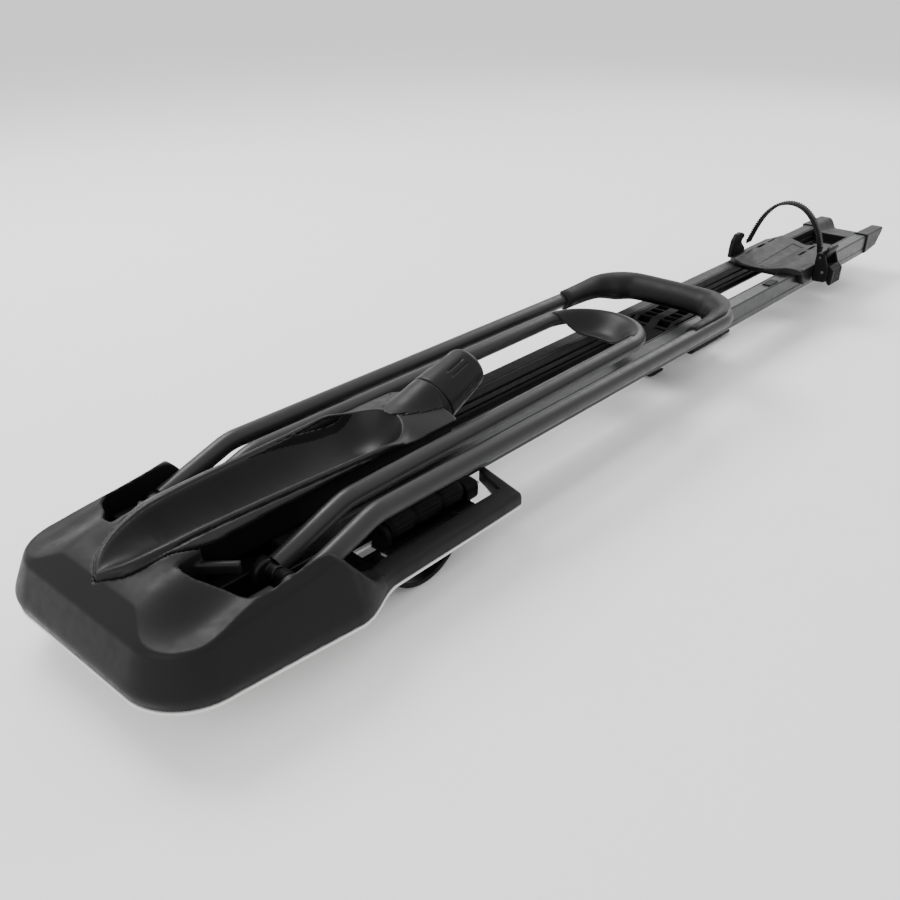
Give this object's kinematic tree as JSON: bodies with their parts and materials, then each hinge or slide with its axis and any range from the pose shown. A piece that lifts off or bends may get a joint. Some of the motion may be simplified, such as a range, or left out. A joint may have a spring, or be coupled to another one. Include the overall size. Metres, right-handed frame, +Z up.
{
  "type": "upright wheel-hold roof bicycle carrier",
  "caption": "Long roof rack with a moulded front wheel tray, two fold-up wheel hoops, a tension knob, twin rails, crossbar clamps and a sliding strap cradle.",
  "frame": {"origin": "centre of the front crossbar seat, on the underside of its pad", "axes": "+Z up, +Y towards the rear of the vehicle along the rails, +X to the carrier's right when seen from behind its nose"},
  "size_m": [0.282, 1.545, 0.173],
  "materials": {
    "head_cover": "satin",
    "base_pan": "matte",
    "chassis_tray": "satin",
    "wheel_trough": "satin",
    "knob_boss": "satin",
    "front_crossbar_pad": "matte",
    "pivot_bracket_l": "satin",
    "pivot_bracket_r": "satin",
    "hoop_pivot_pin_l": "satin",
    "hoop_pivot_pin_r": "satin",
    "outer_hoop": "satin",
    "hoop_sleeve": "matte",
    "outer_knuckle_l": "satin",
    "outer_knuckle_r": "satin",
    "inner_hoop": "satin",
    "inner_hoop_saddle": "satin",
    "inner_knuckle_l": "satin",
    "inner_knuckle_r": "satin",
    "tension_knob": "satin",
    "lead_screw": "satin",
    "tension_nut": "satin",
    "rail_l": "anodised",
    "rail_r": "anodised",
    "rail_insert": "satin",
    "rear_crossmember": "satin",
    "rail_crossmember": "satin",
    "rail_bolt_1": "satin",
    "rail_bolt_2": "satin",
    "rail_bolt_3": "satin",
    "rail_bolt_4": "satin",
    "rail_end_cap": "satin",
    "front_jaw_l": "satin",
    "front_jaw_r": "satin",
    "jaw_pin_l": "satin",
    "jaw_pin_r": "satin",
    "clamp_housing_l": "satin",
    "clamp_housing_r": "satin",
    "clamp_dial_l": "satin",
    "clamp_dial_r": "satin",
    "clamp_screw_l": "satin",
    "clamp_screw_r": "satin",
    "rear_clamp_carriage": "satin",
    "rear_crossbar_pad": "matte",
    "rear_hook": "satin",
    "rear_hook_pin": "satin",
    "rear_clamp_lever": "satin",
    "rear_lever_pin": "satin",
    "wheel_cradle": "satin",
    "strap_anchor": "satin",
    "ratchet_strap": "matte",
    "buckle_base": "satin",
    "buckle_pin": "satin",
    "release_pin": "satin",
    "buckle_lever": "satin",
    "release_tab": "satin"
  },
  "bodies": {
    "carrier": {"head_cover": "head_cover", "base_pan": "base_pan", "chassis_tray": "chassis_tray", "wheel_trough": "wheel_trough", "knob_boss": "knob_boss", "front_crossbar_pad": "front_crossbar_pad", "pivot_bracket_l": "pivot_bracket_l", "pivot_bracket_r": "pivot_bracket_r", "hoop_pivot_pin_l": "hoop_pivot_pin_l", "hoop_pivot_pin_r": "hoop_pivot_pin_r", "rail_l": "rail_l", "rail_r": "rail_r", "rail_insert": "rail_insert", "rear_crossmember": "rear_crossmember", "rail_crossmember": "rail_crossmember", "rail_bolt_1": "rail_bolt_1", "rail_bolt_2": "rail_bolt_2", "rail_bolt_3": "rail_bolt_3", "rail_bolt_4": "rail_bolt_4", "rail_end_cap": "rail_end_cap", "jaw_pin_l": "jaw_pin_l", "jaw_pin_r": "jaw_pin_r", "clamp_housing_l": "clamp_housing_l", "clamp_housing_r": "clamp_housing_r"},
    "outer_hoop_body": {"outer_hoop": "outer_hoop", "hoop_sleeve": "hoop_sleeve", "outer_knuckle_l": "outer_knuckle_l", "outer_knuckle_r": "outer_knuckle_r"},
    "inner_hoop_body": {"inner_hoop": "inner_hoop", "inner_hoop_saddle": "inner_hoop_saddle", "inner_knuckle_l": "inner_knuckle_l", "inner_knuckle_r": "inner_knuckle_r"},
    "knob": {"tension_knob": "tension_knob", "lead_screw": "lead_screw"},
    "nut": {"tension_nut": "tension_nut"},
    "dial_l": {"clamp_dial_l": "clamp_dial_l", "clamp_screw_l": "clamp_screw_l"},
    "dial_r": {"clamp_dial_r": "clamp_dial_r", "clamp_screw_r": "clamp_screw_r"},
    "jaw_l": {"front_jaw_l": "front_jaw_l"},
    "jaw_r": {"front_jaw_r": "front_jaw_r"},
    "rear_clamp": {"rear_clamp_carriage": "rear_clamp_carriage", "rear_crossbar_pad": "rear_crossbar_pad", "rear_hook_pin": "rear_hook_pin", "rear_lever_pin": "rear_lever_pin"},
    "hook": {"rear_hook": "rear_hook"},
    "clamp_lever": {"rear_clamp_lever": "rear_clamp_lever"},
    "cradle": {"wheel_cradle": "wheel_cradle", "strap_anchor": "strap_anchor", "ratchet_strap": "ratchet_strap", "buckle_base": "buckle_base", "buckle_pin": "buckle_pin", "release_pin": "release_pin"},
    "strap_lever": {"buckle_lever": "buckle_lever"},
    "release": {"release_tab": "release_tab"}
  },
  "joints": [
    {"name": "outer_hoop_swing", "type": "hinge", "parent": "carrier", "child": "outer_hoop_body", "pos_m": [0, -0.149, 0.041], "axis": [1, 0, 0], "range_deg": [0, 100]},
    {"name": "inner_hoop_swing", "type": "hinge", "parent": "carrier", "child": "inner_hoop_body", "pos_m": [0, -0.149, 0.041], "axis": [1, 0, 0], "range_deg": [0, 75]},
    {"name": "tension_knob_turn", "type": "hinge", "parent": "carrier", "child": "knob", "pos_m": [0, 0.116, 0.0815], "axis": [0, 0.9397, 0.342], "range_deg": [0, 1800]},
    {"name": "tension_nut_travel", "type": "slide", "parent": "carrier", "child": "nut", "axis": [0, 0.9397, 0.342], "range_m": [-0.0205, 0.0005]},
    {"name": "clamp_dial_l_turn", "type": "hinge", "parent": "carrier", "child": "dial_l", "pos_m": [-0.073, -0.027, 0.0235], "axis": [0, 1, 0], "range_deg": [0, 1080]},
    {"name": "clamp_dial_r_turn", "type": "hinge", "parent": "carrier", "child": "dial_r", "pos_m": [0.073, -0.027, 0.0235], "axis": [0, 1, 0], "range_deg": [0, 1080]},
    {"name": "front_jaw_l_swing", "type": "hinge", "parent": "carrier", "child": "jaw_l", "pos_m": [-0.085, -0.05, 0.0085], "axis": [1, 0, 0], "range_deg": [-25, 0]},
    {"name": "front_jaw_r_swing", "type": "hinge", "parent": "carrier", "child": "jaw_r", "pos_m": [0.085, -0.05, 0.0085], "axis": [1, 0, 0], "range_deg": [-25, 0]},
    {"name": "rear_clamp_slide", "type": "slide", "parent": "carrier", "child": "rear_clamp", "axis": [0, 1, 0], "range_m": [-0.25, 0.08]},
    {"name": "rear_hook_swing", "type": "hinge", "parent": "rear_clamp", "child": "hook", "pos_m": [0, 0.565, 0.006], "axis": [1, 0, 0], "range_deg": [-40, 0]},
    {"name": "rear_clamp_lever_swing", "type": "hinge", "parent": "rear_clamp", "child": "clamp_lever", "pos_m": [0, 0.677, -0.008], "axis": [1, 0, 0], "range_deg": [-90, 0]},
    {"name": "cradle_slide", "type": "slide", "parent": "carrier", "child": "cradle", "axis": [0, 1, 0], "range_m": [-0.03, 0.12]},
    {"name": "buckle_lever_swing", "type": "hinge", "parent": "cradle", "child": "strap_lever", "pos_m": [0.081, 0.943, 0.044], "axis": [0, 1, 0], "range_deg": [-80, 0]},
    {"name": "release_tab_swing", "type": "hinge", "parent": "cradle", "child": "release", "pos_m": [0.074, 0.943, 0.066], "axis": [0, 1, 0], "range_deg": [0, 18], "stiffness_Nm_per_rad": 0.05, "springref_deg": -11.46}
  ],
  "couplings": [
    {"joint": "tension_nut_travel", "follows": "tension_knob_turn", "m_per_rad": -0.00063662},
    {"joint": "front_jaw_l_swing", "follows": "clamp_dial_l_turn", "ratio": -0.022222},
    {"joint": "front_jaw_r_swing", "follows": "clamp_dial_r_turn", "ratio": -0.022222}
  ]
}
